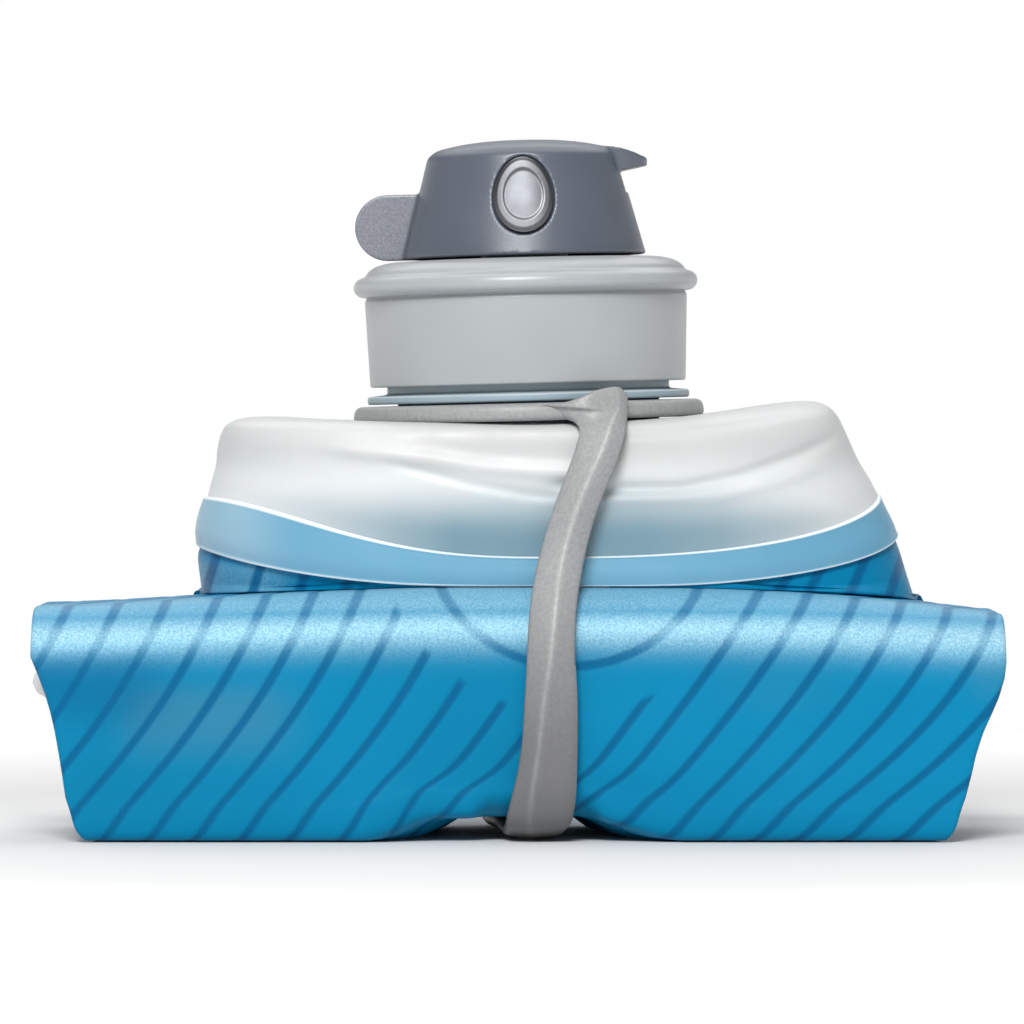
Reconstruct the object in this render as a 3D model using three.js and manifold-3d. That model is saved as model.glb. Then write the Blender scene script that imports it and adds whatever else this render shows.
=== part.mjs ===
// A collapsible water bottle, emptied, rolled up from its base and held shut by its bail strap.
// Millimetres, +Z up, front towards -Y. The origin ends up under the middle of the bounding box.
import * as THREE from "three";
import { mergeVertices } from "three/addons/utils/BufferGeometryUtils.js";
import Module from "manifold-3d";

const wasm = await Module();
wasm.setup();

// ---------------------------------------------------------------- driving dimensions
const GAP = 0.3; // clearance between pieces that touch
const LEAN = THREE.MathUtils.degToRad(1.5); // the neck leans to the left
const NECK_X = 1.7; // neck axis, measured from the middle of the roll
const NECK_Z = 65.5; // underside of the bail ring

const NECK = { bore: 19, wall: 21, step: 22.7, flange: 25.9, base: 23.6, bottom: -4, rim: 20.6 };
const THREAD = { start: 9.5, lead: 4, turns: 1.75, ridge: 1, sides: 8, steps: 35 };
const LID = { skirtBottom: 5.95, skirtTop: 20.1, bottomR: 25.4, topR: 25.95, bore: 23.2, ceiling: 22.9,
  bead: 27.7, deck: 26, hole: 7.3 };
const CORE = { outer: 7, bore: 5.2, base: 10.5, bottom: 20.6, top: 41.6 };
const CORE_RING = { pitchRadius: 6.75, section: 0.5, levels: [30, 33.6] };
const CAP = { bottomR: 19.5, rimR: 15, bottom: 26.4, rim: 43, crown: 45.8, wall: 1.9, sleeve: 7.6,
  sleeveWall: 1.4 };
const PORT = { width: 6.6, low: 36.6, high: 40.2 };
const FIN = { reach: 27.2, height: 10.6, thickness: 2.6, bottom: 26.3, rootLow: 16.4, rootHigh: 15.2 };
const BEAK = { root: 11, reach: 20, width: 10, thickness: 2.2, underside: 40.9, droop: 5 };
const BADGE = { width: 9.4, height: 12, thickness: 0.8, level: 36.3 };
const RING = { inner: 21.4, outer: 28.2, bottom: 0.1, top: 2.9 };
const STRAP_ROOT = THREE.MathUtils.degToRad(-65); // where the strap's front root is round the ring

const FILM = 1.4; // two layers of film with a little air between them
const LIFT = 3.4; // how far the strap lifts the film under the roll
const STRAP = { rootRise: 4.2, topWidth: 7.2, bottomWidth: 9.4, thickness: 2.6, steps: 44 };

// The roll's centre line from the shoulder to the base, as [y, z] corners, each rounded by its
// radius, with half the film's width there.
const ROLL = [
  { at: [5.3, 30.2], half: 66 },
  { at: [5.3, 0.7], radius: 5, half: 69.5 },
  { at: [-37.3, 0.7], radius: 5, half: 70 },
  { at: [-37.3, 38.5], radius: 9, half: 75.4 },
  { at: [-0.7, 38.5], radius: 6, half: 75 },
  { at: [-0.7, 6.7], radius: 4, half: 73 },
  { at: [-31.3, 6.7], radius: 4, half: 72 },
  { at: [-31.3, 32.5], radius: 5, half: 72 },
  { at: [-6.7, 32.5], radius: 4, half: 71 },
  { at: [-6.7, 26], half: 70 },
];
const BASE_END = { half: 75.4, low: 17 };

// ---------------------------------------------------------------- materials
const finish = (color, roughness, opacity = 1) =>
  new THREE.MeshStandardMaterial({ color, roughness, metalness: 0, opacity, transparent: opacity < 1 });
const lidGrey = () => finish(0xb4bbbe, 0.5);
const slate = () => finish(0x606874, 0.55);
const elastomer = () => finish(0x969a9b, 0.75);
const frosted = () => finish(0xd7e1e6, 0.45, 0.8);
const weldBlue = () => finish(0x6eb4dc, 0.45);
const filmBlue = () => finish(0x008ccd, 0.35);
const rubber = () => finish(0x30363c, 0.8);
const silver = () => finish(0xc8ccd0, 0.35);

// ---------------------------------------------------------------- solids
function solidOf(geometry) {
  const plain = new THREE.BufferGeometry();
  plain.setAttribute("position", geometry.getAttribute("position"));
  if (geometry.index) plain.setIndex(geometry.index);
  const merged = mergeVertices(plain, 1e-4);
  const triVerts = new Uint32Array(merged.index.array);
  const vertProperties = new Float32Array(merged.attributes.position.array);
  return new wasm.Manifold(new wasm.Mesh({ numProp: 3, vertProperties, triVerts }));
}

function geometryOf(solid) {
  const made = solid.getMesh();
  const geometry = new THREE.BufferGeometry();
  geometry.setAttribute("position", new THREE.BufferAttribute(new Float32Array(made.vertProperties), 3));
  geometry.setIndex(new THREE.BufferAttribute(new Uint32Array(made.triVerts), 1));
  return geometry;
}

const join = (first, ...others) =>
  geometryOf(others.reduce((sum, other) => sum.add(solidOf(other)), solidOf(first)));
const cut = (first, ...others) =>
  geometryOf(others.reduce((rest, other) => rest.subtract(solidOf(other)), solidOf(first)));

// A solid of revolution about Z from [radius, z] points. A tube's profile repeats its first point.
function lathe(profile, segments = 40) {
  const points = profile.map(([r, z]) => new THREE.Vector2(r, z));
  const geometry = new THREE.LatheGeometry(points, segments).rotateX(Math.PI / 2);
  return facingOut(geometry);
}

function facingOut(geometry) {
  const p = geometry.attributes.position;
  const index = geometry.index.array;
  const [a, b, c] = [new THREE.Vector3(), new THREE.Vector3(), new THREE.Vector3()];
  let volume = 0;
  for (let i = 0; i < index.length; i += 3) {
    a.fromBufferAttribute(p, index[i]);
    b.fromBufferAttribute(p, index[i + 1]);
    c.fromBufferAttribute(p, index[i + 2]);
    volume += a.dot(b.cross(c));
  }
  if (volume < 0) index.reverse();
  return geometry;
}

// Joins rings of points into one closed surface. Its two ends are zipped shut, unless it wraps round.
function loft(rings, wrap = false) {
  const count = rings[0].length;
  const positions = rings.flat().flatMap((p) => [p.x, p.y, p.z]);
  const index = [];
  const quad = (a, b, c, d) => index.push(a, b, c, a, c, d);
  const spans = wrap ? rings.length : rings.length - 1;
  for (let i = 0; i < spans; i++) {
    const here = i * count;
    const next = ((i + 1) % rings.length) * count;
    for (let j = 0; j < count; j++) {
      const k = (j + 1) % count;
      quad(here + j, here + k, next + k, next + j);
    }
  }
  if (!wrap) {
    const last = (rings.length - 1) * count;
    for (let j = 0; j < count / 2 - 1; j++) {
      const far = count - 1 - j;
      quad(j, far, far - 1, j + 1);
      quad(last + j, last + j + 1, last + far - 1, last + far);
    }
  }
  const geometry = new THREE.BufferGeometry();
  geometry.setAttribute("position", new THREE.Float32BufferAttribute(positions, 3));
  geometry.setIndex(index);
  return facingOut(geometry);
}

function box(low, high) {
  const size = high.map((value, i) => value - low[i]);
  const middle = high.map((value, i) => (value + low[i]) / 2);
  return new THREE.BoxGeometry(...size).translate(...middle);
}

// ---------------------------------------------------------------- neck, lid and cap, about their own axis
function threadRidge(radius, bottom) {
  const helix = new THREE.Curve();
  helix.getPoint = (t, target = new THREE.Vector3()) => {
    const turned = t * THREAD.turns;
    const angle = turned * 2 * Math.PI;
    return target.set(radius * Math.cos(angle), radius * Math.sin(angle), bottom + turned * THREAD.lead);
  };
  const section = new THREE.Shape();
  for (let i = 0; i < THREAD.sides; i++) {
    const angle = (i / THREAD.sides) * 2 * Math.PI;
    const [x, y] = [THREAD.ridge * Math.cos(angle), THREAD.ridge * Math.sin(angle)];
    if (i) section.lineTo(x, y);
    else section.moveTo(x, y);
  }
  const options = { steps: THREAD.steps, bevelEnabled: false, extrudePath: helix };
  return new THREE.ExtrudeGeometry(section, options);
}

function neckFitment() {
  const { bore, wall, step, flange, base, bottom, rim } = NECK;
  const tube = lathe([
    [bore, bottom], [bore, rim - 0.6], [bore + 0.6, rim], [wall - 0.6, rim], [wall, rim - 0.6],
    [wall, 7.2], [step, 6.7], [step, 4.7], [flange - 0.3, 4.4], [flange, 3.9], [flange - 0.3, 3.3],
    [wall, 3.2], [wall, -2.1], [base, -2.1], [base, -3.6], [wall, -3.6], [wall, bottom],
    [bore, bottom],
  ]);
  return join(tube, threadRidge(wall + 0.3, THREAD.start));
}

function screwLid() {
  const { skirtBottom, skirtTop, bottomR, topR, bore, ceiling, bead, deck, hole } = LID;
  const shell = lathe([
    [bore, skirtBottom + 0.3], [bore + 0.3, skirtBottom], [bottomR - 0.4, skirtBottom],
    [bottomR, skirtBottom + 0.4], [topR, skirtTop], [bead - 1, 20.4], [bead - 0.2, 21.1], [bead, 22],
    [bead - 0.2, 22.9], [bead - 1, 23.6], [topR - 0.3, 23.8], [topR - 0.4, 24.4], [topR - 1.7, 25.3],
    [topR - 3.9, deck - 0.1], [hole, deck], [hole, ceiling], [bore, ceiling], [bore, skirtBottom + 0.3],
  ], 48);
  return join(shell, threadRidge(bore - 0.3, THREAD.start + THREAD.lead / 2));
}

function lidGasket() {
  const [inner, outer] = [NECK.bore - 0.2, LID.bore - 0.4];
  const [low, high] = [NECK.rim + GAP, LID.ceiling - GAP];
  return lathe([[inner, low], [outer, low], [outer, high], [inner, high], [inner, low]]);
}

function spoutCore() {
  const { outer, bore, base, bottom, top } = CORE;
  const groove = outer - 1.05;
  const half = 0.8;
  const stem = CORE_RING.levels.flatMap((z) => [
    [outer, z - half], [groove, z - half], [groove, z + half], [outer, z + half],
  ]);
  const tube = lathe([
    [0, top - 1.2], [bore, top - 1.2], [bore, bottom], [base, bottom], [base, LID.ceiling - GAP],
    [outer, LID.ceiling - GAP], ...stem, [outer, top - 0.5], [outer - 0.5, top], [0, top],
  ], 32);
  const window = box([-PORT.width / 2, 2, PORT.low], [PORT.width / 2, outer + 2, PORT.high]);
  return cut(tube, window);
}

const coreRing = (level) =>
  facingOut(new THREE.TorusGeometry(CORE_RING.pitchRadius, CORE_RING.section, 6, 20).translate(0, 0, level));

// The cone's outer radius at a height.
const coneRadius = (z) =>
  CAP.bottomR + ((CAP.rimR - CAP.bottomR) * (z - CAP.bottom)) / (CAP.rim - CAP.bottom);

// The badge's place: its disc lies along Z, then tips back onto the cone's front.
function onConeFront(geometry, proud) {
  const slope = Math.atan((CAP.bottomR - CAP.rimR) / (CAP.rim - CAP.bottom));
  return geometry
    .translate(0, 0, proud)
    .rotateX(Math.PI / 2 - slope)
    .translate(0, -coneRadius(BADGE.level), BADGE.level);
}

function oval(margin, thickness) {
  const outline = new THREE.Shape();
  outline.absellipse(0, 0, BADGE.width / 2 + margin, BADGE.height / 2 + margin, 0, 2 * Math.PI);
  const options = { depth: thickness, bevelEnabled: false, curveSegments: 16 };
  return new THREE.ExtrudeGeometry(outline, options);
}

function twistCap() {
  const { bottomR, rimR, bottom, rim, crown, wall, sleeve, sleeveWall } = CAP;
  const roof = crown - 2.9;
  const [outside, foot] = [sleeve + sleeveWall, bottom + 0.8];
  const shell = lathe([
    [0, crown], [5, crown - 0.15], [10, crown - 0.8], [rimR - 1, rim + 0.9], [rimR, rim], [bottomR, bottom],
    [bottomR - wall, bottom], [rimR - wall, roof - 1.2], [rimR - wall - 1, roof - 0.4],
    [outside, roof], [outside, foot], [sleeve, foot], [sleeve, roof], [0, roof],
  ], 48);
  const half = PORT.width / 2;
  const duct = box([sleeve + 0.8, -half - 1.2, PORT.low - 1.3], [rimR - 0.8, half + 1.2, roof + 0.5]);
  const radius = FIN.height / 2;
  const paddle = new THREE.Shape();
  paddle.moveTo(-FIN.rootLow, FIN.bottom);
  paddle.lineTo(-FIN.reach + radius, FIN.bottom);
  paddle.absarc(-FIN.reach + radius, FIN.bottom + radius, radius, -Math.PI / 2, -1.5 * Math.PI, true);
  paddle.lineTo(-FIN.rootHigh, FIN.bottom + FIN.height);
  const plain = { bevelEnabled: false, curveSegments: 12 };
  const fin = new THREE.ExtrudeGeometry(paddle, { ...plain, depth: FIN.thickness })
    .rotateX(Math.PI / 2)
    .translate(0, FIN.thickness / 2, 0);
  const tongue = new THREE.Shape();
  const tip = BEAK.width / 2;
  tongue.moveTo(BEAK.root, -tip);
  tongue.lineTo(BEAK.reach - tip, -tip);
  tongue.absarc(BEAK.reach - tip, 0, tip, -Math.PI / 2, Math.PI / 2, false);
  tongue.lineTo(BEAK.root, tip);
  const beak = new THREE.ExtrudeGeometry(tongue, { ...plain, depth: BEAK.thickness })
    .translate(-rimR, 0, 0)
    .rotateY(THREE.MathUtils.degToRad(BEAK.droop))
    .translate(rimR, 0, BEAK.underside);
  const whole = join(shell, duct, fin, beak);
  const port = box([sleeve - 1, -half, PORT.low], [bottomR + 4, half, PORT.high]);
  const depth = BADGE.thickness + GAP;
  return cut(whole, port, onConeFront(oval(GAP, depth + 2), -depth));
}

const badge = () => onConeFront(oval(0, BADGE.thickness), -BADGE.thickness);

function bailRing() {
  const { inner, outer, bottom, top } = RING;
  return lathe([
    [inner, bottom], [outer - 0.7, bottom], [outer, bottom + 0.7], [outer, top - 0.7], [outer - 0.7, top],
    [inner, top], [inner, bottom],
  ], 48);
}

// ---------------------------------------------------------------- shoulder, band and upper film
const OUTLINE_POINTS = 40;
const SQUARENESS = 0.8; // 1 is an ellipse, lower is nearer a rectangle

// A closed outline, from its left and right ends, its y range, and its height at the sides, front and back.
function outline({ left, right, front, back, side, ...rest }) {
  const { frontZ = side, backZ = side, lean = 0, round = SQUARENESS } = rest;
  const tilt = lean * Math.tan(LEAN);
  const ring = [];
  for (let i = 0; i < OUTLINE_POINTS; i++) {
    const angle = (i / OUTLINE_POINTS) * 2 * Math.PI;
    const [c, s] = [Math.cos(angle), Math.sin(angle)].map((v) => Math.sign(v) * Math.abs(v) ** round);
    const x = (left + right) / 2 + ((right - left) / 2) * c;
    const y = (front + back) / 2 + ((back - front) / 2) * s;
    const dip = (s < 0 ? frontZ : backZ) - side;
    ring.push(new THREE.Vector3(x, y, side + dip * Math.abs(s) ** 1.5 + tilt * (x - NECK_X)));
  }
  return ring;
}

// The same outline drawn in by the wall's thickness and moved by a height.
const inset = (o, wall, rise = 0) => ({
  ...o,
  left: o.left + wall,
  right: o.right - wall,
  front: o.front + wall,
  back: o.back - wall,
  side: o.side + rise,
  frontZ: (o.frontZ ?? o.side) + rise,
  backZ: (o.backZ ?? o.side) + rise,
});

// A thin wall between an outer and an inner run of outlines, open at both ends.
const wallOf = (outer, inner) => loft([...outer, ...inner.toReversed()].map(outline), true);

const MOUTH = {
  front: -NECK.wall - GAP, back: NECK.wall + GAP, side: NECK_Z - GAP, lean: 1, round: 1,
};
const SHOULDER = [
  { ...MOUTH, left: NECK_X - NECK.wall - GAP, right: NECK_X + NECK.wall + GAP },
  { ...MOUTH, left: NECK_X - 30, right: NECK_X + 30, front: -24.8, back: 24.8 },
  { left: -43.6, right: 47.6, front: -27.2, back: 27.2, side: 65, lean: 1 },
  { left: -47, right: 51.6, front: -28.8, back: 28.8, side: 62.6, lean: 1 },
  { left: -50.2, right: 57.6, front: -29.4, back: 29.4, side: 53.6, frontZ: 45.4, backZ: 46, lean: 0.3 },
];
const BAND_FOOT = {
  left: -51.2, right: 60.6, front: -29.6, back: 29.6, side: 46.4, frontZ: 40.9, backZ: 41, lean: 0.3,
};

function shoulderShell() {
  const wall = 1.2;
  const [mouth, flat, ...sides] = SHOULDER;
  const foot = sides.pop();
  const inner = [
    { ...mouth, side: mouth.side - wall },
    inset(flat, 0, -wall),
    ...sides.map((o) => inset(o, wall, -wall)),
    inset(foot, wall),
  ];
  return wallOf(SHOULDER, inner);
}

function weldBand() {
  const top = inset(SHOULDER.at(-1), -0.5, -GAP);
  const foot = inset(BAND_FOOT, -0.5);
  return wallOf([top, foot], [inset(top, 1.8), inset(foot, 1.8)]);
}

function upperFilm() {
  const film = 0.8;
  const top = inset(BAND_FOOT, 0, -GAP);
  const turn = { ...top, front: top.front + 0.6, side: top.side - 1, frontZ: 39.7, backZ: top.backZ - 1 };
  const ledge = { left: -56, right: 65, front: 0.8, back: 20, side: 41, frontZ: 39.9, backZ: 36.8 };
  const pinch = { left: -63, right: 68, front: 4, back: 9.4, side: 34, frontZ: 35, backZ: 32.6 };
  const foot = { left: -66, right: 66, front: 4.5, back: 6.1, side: ROLL[0].at[1] + GAP };
  const inner = [
    inset(top, film),
    { ...inset(turn, film), frontZ: turn.frontZ + film, backZ: turn.backZ + film / 2 },
    { ...inset(ledge, film), frontZ: ledge.frontZ + film, backZ: ledge.backZ + film },
    { ...inset(pinch, film), side: pinch.side + 0.3, backZ: pinch.backZ + film },
    { ...inset(foot, 1), front: 5, back: 5.6 },
  ];
  return wallOf([top, turn, ledge, pinch, foot], inner);
}

// ---------------------------------------------------------------- rolled film
const FLAT_COLUMNS = [-1, 1]; // where the film has points across its width, in shares of its half width
const COLUMNS = [-1, -0.6, -0.38, -0.26, -0.14, -0.03, 0.05, 0.13, 0.25, 0.37, 0.6, 1];
const ARC_STEPS = 4;
const STRAP_MIDDLE = 3;
const LIFT_REACH = 28; // how far either side of the strap the film gives way
const LIFT_FULL = 9; // how far either side it gives way in full
const LIFT_LOW = 5.2; // the height up to which it gives way in full
const LIFT_FADE = 12; // the height where it is back in its own plane

// How far a point of the film gives way to the strap, from its x and its height.
function giveWay(x, z) {
  const away = Math.abs(x - STRAP_MIDDLE);
  const across = THREE.MathUtils.smoothstep(LIFT_REACH - away, 0, LIFT_REACH - LIFT_FULL);
  const down = 1 - THREE.MathUtils.smoothstep(z, LIFT_LOW, LIFT_FADE);
  return LIFT * across * down;
}

const corner = (i) => new THREE.Vector2(...ROLL[i].at);
const heading = (i) => corner(i + 1).sub(corner(i)).normalize();

// The centre line's stations along panel i and round the fold after it.
function stations(i) {
  const along = heading(i);
  const inwards = new THREE.Vector2(along.y, -along.x);
  const startRadius = ROLL[i].radius ?? 0;
  const endRadius = ROLL[i + 1].radius ?? 0;
  const begin = corner(i).addScaledVector(along, startRadius + (i ? GAP : 0));
  const end = corner(i + 1).addScaledVector(along, -endRadius);
  const list = [0, 0.33, 0.66, 1].map((t) => ({
    at: begin.clone().lerp(end, t),
    inwards,
    half: THREE.MathUtils.lerp(ROLL[i].half, ROLL[i + 1].half, t),
  }));
  if (!endRadius) return list;
  const centre = end.clone().addScaledVector(inwards, endRadius);
  for (let n = 1; n <= ARC_STEPS; n++) {
    const turn = ((n / ARC_STEPS) * Math.PI) / 2;
    const spoke = inwards.clone().multiplyScalar(Math.cos(turn)).addScaledVector(along, -Math.sin(turn));
    const at = centre.clone().addScaledVector(spoke, -endRadius);
    list.push({ at, inwards: spoke, half: ROLL[i + 1].half });
  }
  return list;
}

// One flat stretch of the rolled film with the fold that follows it.
function filmPanel(i) {
  const outermost = i < 3;
  const columns = outermost ? COLUMNS : FLAT_COLUMNS;
  const rings = stations(i).map(({ at, inwards, half }) => {
    const side = (offset, across) =>
      across.map((c) => {
        const x = c * half;
        const shift = offset + (outermost ? giveWay(x, at.y) : 0);
        const p = at.clone().addScaledVector(inwards, shift);
        return new THREE.Vector3(x, p.x, p.y);
      });
    return [...side(-FILM / 2, columns), ...side(FILM / 2, columns.toReversed())];
  });
  return loft(rings);
}

function baseFilm() {
  const [y, top] = ROLL.at(-1).at;
  const high = top - GAP;
  const sheet = new THREE.Shape();
  sheet.moveTo(-ROLL.at(-1).half, high);
  sheet.lineTo(-BASE_END.half, high - 2);
  sheet.lineTo(-BASE_END.half, high - 5);
  sheet.quadraticCurveTo(-BASE_END.half, BASE_END.low, -BASE_END.half + 10, BASE_END.low);
  sheet.lineTo(BASE_END.half - 10, BASE_END.low);
  sheet.quadraticCurveTo(BASE_END.half, BASE_END.low, BASE_END.half, high - 5);
  sheet.lineTo(BASE_END.half, high - 2);
  sheet.lineTo(ROLL.at(-1).half, high);
  return new THREE.ExtrudeGeometry(sheet, { depth: FILM, bevelEnabled: false, curveSegments: 4 })
    .rotateX(Math.PI / 2)
    .translate(0, y + FILM / 2, 0);
}

// ---------------------------------------------------------------- bail strap
// The strap's section, in shares of its width and thickness. It is flatter on the side it lies on.
const STRAP_SECTION = [
  [-0.35, -0.5], [0.35, -0.5], [0.5, -0.2], [0.5, 0.3], [0.35, 0.5], [-0.35, 0.5], [-0.5, 0.3], [-0.5, -0.2],
];

function bailStrap() {
  const reach = RING.outer + GAP + 0.2 + STRAP.thickness / 2;
  const [rootX, rootY] = [reach * Math.cos(STRAP_ROOT), reach * Math.sin(STRAP_ROOT)];
  const top = NECK_Z + STRAP.rootRise;
  const route = new THREE.CatmullRomCurve3([
    [NECK_X + rootX, rootY, top], [13.8, -30.1, 65], [11.4, -31.9, 57], [8.4, -32.6, 49],
    [6.4, -34, 42.6], [5.3, -37.8, 36.4], [4.9, -40.1, 29.5], [4.9, -40.3, 16], [4.3, -40, 9],
    [3.4, -37.4, 3.6], [2.6, -33.4, 1.85], [0.8, -18, 1.8], [-1.4, 1, 1.8], [-2.4, 6.8, 3.4],
    [-3.4, 10.2, 9], [-5.5, 19.6, 26], [-8.2, 32.4, 41], [-9.8, 32.6, 52], [-11.2, 30.6, 64],
    [NECK_X - rootX, -rootY, top],
  ].map((p) => new THREE.Vector3(...p)));
  const rings = [];
  for (let i = 0; i <= STRAP.steps; i++) {
    const t = i / STRAP.steps;
    const along = route.getTangentAt(t);
    const across = new THREE.Vector3(1, 0, 0).addScaledVector(along, -along.x).normalize();
    const out = along.clone().cross(across).normalize();
    const low = THREE.MathUtils.smoothstep(0.5 - Math.abs(t - 0.5), 0.1, 0.3);
    const width = THREE.MathUtils.lerp(STRAP.topWidth, STRAP.bottomWidth, low);
    const middle = route.getPointAt(t);
    const point = ([w, h]) =>
      middle.clone().addScaledVector(across, w * width).addScaledVector(out, h * STRAP.thickness);
    rings.push(STRAP_SECTION.map(point));
  }
  return loft(rings);
}

// ---------------------------------------------------------------- the bottle
const bottle = new THREE.Group();
const neck = new THREE.Group();
neck.position.set(NECK_X, 0, NECK_Z);
neck.rotation.y = -LEAN;
bottle.add(neck);

function place(group, name, geometry, material) {
  const mesh = new THREE.Mesh(geometry, material);
  mesh.name = name;
  group.add(mesh);
}

place(neck, "neck_fitment", neckFitment(), frosted());
place(neck, "bail_ring", bailRing(), elastomer());
place(neck, "screw_lid", screwLid(), lidGrey());
place(neck, "lid_gasket", lidGasket(), rubber());
place(neck, "spout_core", spoutCore(), lidGrey());
CORE_RING.levels.forEach((level, i) => place(neck, `core_o_ring_${i + 1}`, coreRing(level), rubber()));
place(neck, "twist_cap", twistCap(), slate());
place(neck, "cap_badge", badge(), silver());

place(bottle, "shoulder_shell", shoulderShell(), frosted());
place(bottle, "weld_band", weldBand(), weldBlue());
place(bottle, "upper_film", upperFilm(), filmBlue());
for (let i = 0; i < ROLL.length - 1; i++) place(bottle, `film_panel_${i + 1}`, filmPanel(i), filmBlue());
place(bottle, "base_film", baseFilm(), frosted());
place(bottle, "bail_strap", bailStrap(), elastomer());

// The origin goes under the middle of the bounding box, on the surface that the bottle stands on.
bottle.updateMatrixWorld(true);
const bounds = new THREE.Box3().setFromObject(bottle, true);
const middle = bounds.getCenter(new THREE.Vector3());
bottle.position.set(-middle.x, -middle.y, -bounds.min.z);

export default bottle;
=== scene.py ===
"""A collapsible water bottle, rolled up from its base and held shut by its bail strap: the looks."""
import math

import bmesh
import bpy
import numpy as np
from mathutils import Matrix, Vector


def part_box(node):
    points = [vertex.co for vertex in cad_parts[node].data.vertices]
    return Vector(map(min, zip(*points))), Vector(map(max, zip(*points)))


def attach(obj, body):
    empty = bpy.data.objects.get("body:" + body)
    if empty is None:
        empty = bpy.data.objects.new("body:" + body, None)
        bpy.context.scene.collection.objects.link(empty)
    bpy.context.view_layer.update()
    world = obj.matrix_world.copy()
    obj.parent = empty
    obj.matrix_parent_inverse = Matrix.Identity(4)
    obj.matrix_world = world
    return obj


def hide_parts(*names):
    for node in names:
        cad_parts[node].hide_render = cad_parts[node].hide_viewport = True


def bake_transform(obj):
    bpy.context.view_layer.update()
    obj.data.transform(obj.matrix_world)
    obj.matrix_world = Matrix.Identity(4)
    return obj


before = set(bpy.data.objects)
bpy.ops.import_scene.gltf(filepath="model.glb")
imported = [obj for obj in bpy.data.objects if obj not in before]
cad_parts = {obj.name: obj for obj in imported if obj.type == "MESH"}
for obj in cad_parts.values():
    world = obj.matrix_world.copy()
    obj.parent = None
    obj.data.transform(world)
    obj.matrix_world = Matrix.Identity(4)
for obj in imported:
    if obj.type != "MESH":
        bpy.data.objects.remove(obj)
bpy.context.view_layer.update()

MM = 0.001

# The drawing frame is in millimetres: x from the roll's middle, y from the neck's axis, z from the
# floor. The front film's outer face is at y -38 in it.
FRONT_FACE = -38.0
SHIFT_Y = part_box("film_panel_3")[0].y / MM - FRONT_FACE
LEAN = math.radians(1.5)
NECK_X, NECK_Z = 1.7, 65.5  # where the neck's own axis starts, at the shoulder


def clamp(t):
    return np.clip(t, 0.0, 1.0)


def smooth(t):
    """0 up to 0, 1 from 1 on, and an even curve between them."""
    t = clamp(t)
    return t * t * (3 - 2 * t)


def point(x, y, z):
    """A point of the drawing frame in the row frame, in metres."""
    return Vector((x * MM, (y + SHIFT_Y) * MM, z * MM))


def to_row(points):
    """Points of the drawing frame in the row frame, in metres."""
    points = np.array(points, float)
    points[..., 1] += SHIFT_Y
    return points * MM


def from_neck(points):
    """Points about the neck's own axis, put into the drawing frame."""
    points = np.array(points, float)
    x, z = points[..., 0].copy(), points[..., 2].copy()
    points[..., 0] = NECK_X + x * math.cos(LEAN) - z * math.sin(LEAN)
    points[..., 2] = NECK_Z + x * math.sin(LEAN) + z * math.cos(LEAN)
    return points


def linked(name, data):
    """A new object in the scene."""
    made = bpy.data.objects.new(name, data)
    bpy.context.collection.objects.link(made)
    return made


# ------------ camera, floor and light
CAMERA_AT, CAMERA_TILT = (-1.05, -1100.0, 70), 89
LENS, SENSOR, CLIP_END = 240.0, 36, 20
KEY_AT, KEY_LOOK = Vector((-0.11, -0.80, 0.76)), Vector((0, 0, 0.03))
KEY_SIZE, KEY_POWER = (0.42, 0.4), 11.5
CEILING_TILT, CEILING_SPREAD, CEILING_POWER = -28, 75, 1.7
OVERHEAD = 0.2  # how bright the surroundings are overhead
HORIZON_END, OVERHEAD_START = 0.1, 0.24

camera = linked("camera", bpy.data.cameras.new("camera"))
camera.location = point(*CAMERA_AT)
camera.rotation_euler = (math.radians(CAMERA_TILT), 0, 0)
camera.data.lens, camera.data.sensor_width, camera.data.clip_end = LENS, SENSOR, CLIP_END
bpy.context.scene.camera = camera
bpy.context.scene.view_settings.view_transform = "Standard"

key = bpy.data.lights.new("key", "AREA")
key.energy, key.shape = KEY_POWER, "RECTANGLE"
key.size, key.size_y = KEY_SIZE
key_holder = linked("key", key)
key_holder.location = KEY_AT
key_holder.rotation_euler = (KEY_LOOK - KEY_AT).to_track_quat("-Z", "Y").to_euler()

ceiling = bpy.data.lights.new("ceiling", "SUN")
ceiling.energy, ceiling.angle = CEILING_POWER, math.radians(CEILING_SPREAD)
linked("ceiling", ceiling).rotation_euler = (math.radians(CEILING_TILT), 0, 0)

# the surroundings are white up to a little over the horizon, and grey overhead
world = bpy.data.worlds.new("studio")
bpy.context.scene.world = world
world.use_nodes = True
tree = world.node_tree
parts = tree.nodes.new("ShaderNodeSeparateXYZ")
tree.links.new(tree.nodes.new("ShaderNodeTexCoord").outputs["Generated"], parts.inputs["Vector"])
fade = tree.nodes.new("ShaderNodeValToRGB")
for element, height, grey in zip(fade.color_ramp.elements, (HORIZON_END, OVERHEAD_START), (1, OVERHEAD)):
    element.position, element.color = height, (grey, grey, grey, 1)
tree.links.new(parts.outputs["Z"], fade.inputs["Fac"])
tree.links.new(fade.outputs["Color"], tree.nodes["Background"].inputs["Color"])


# ------------ materials
# the part of a noise's range that colour and gloss run over, for a slow noise and for a fine one
SLOW, FINE = (0.3, 0.7), (0.35, 0.65)
GRAIN_DEPTH = 0.00006  # metres


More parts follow.
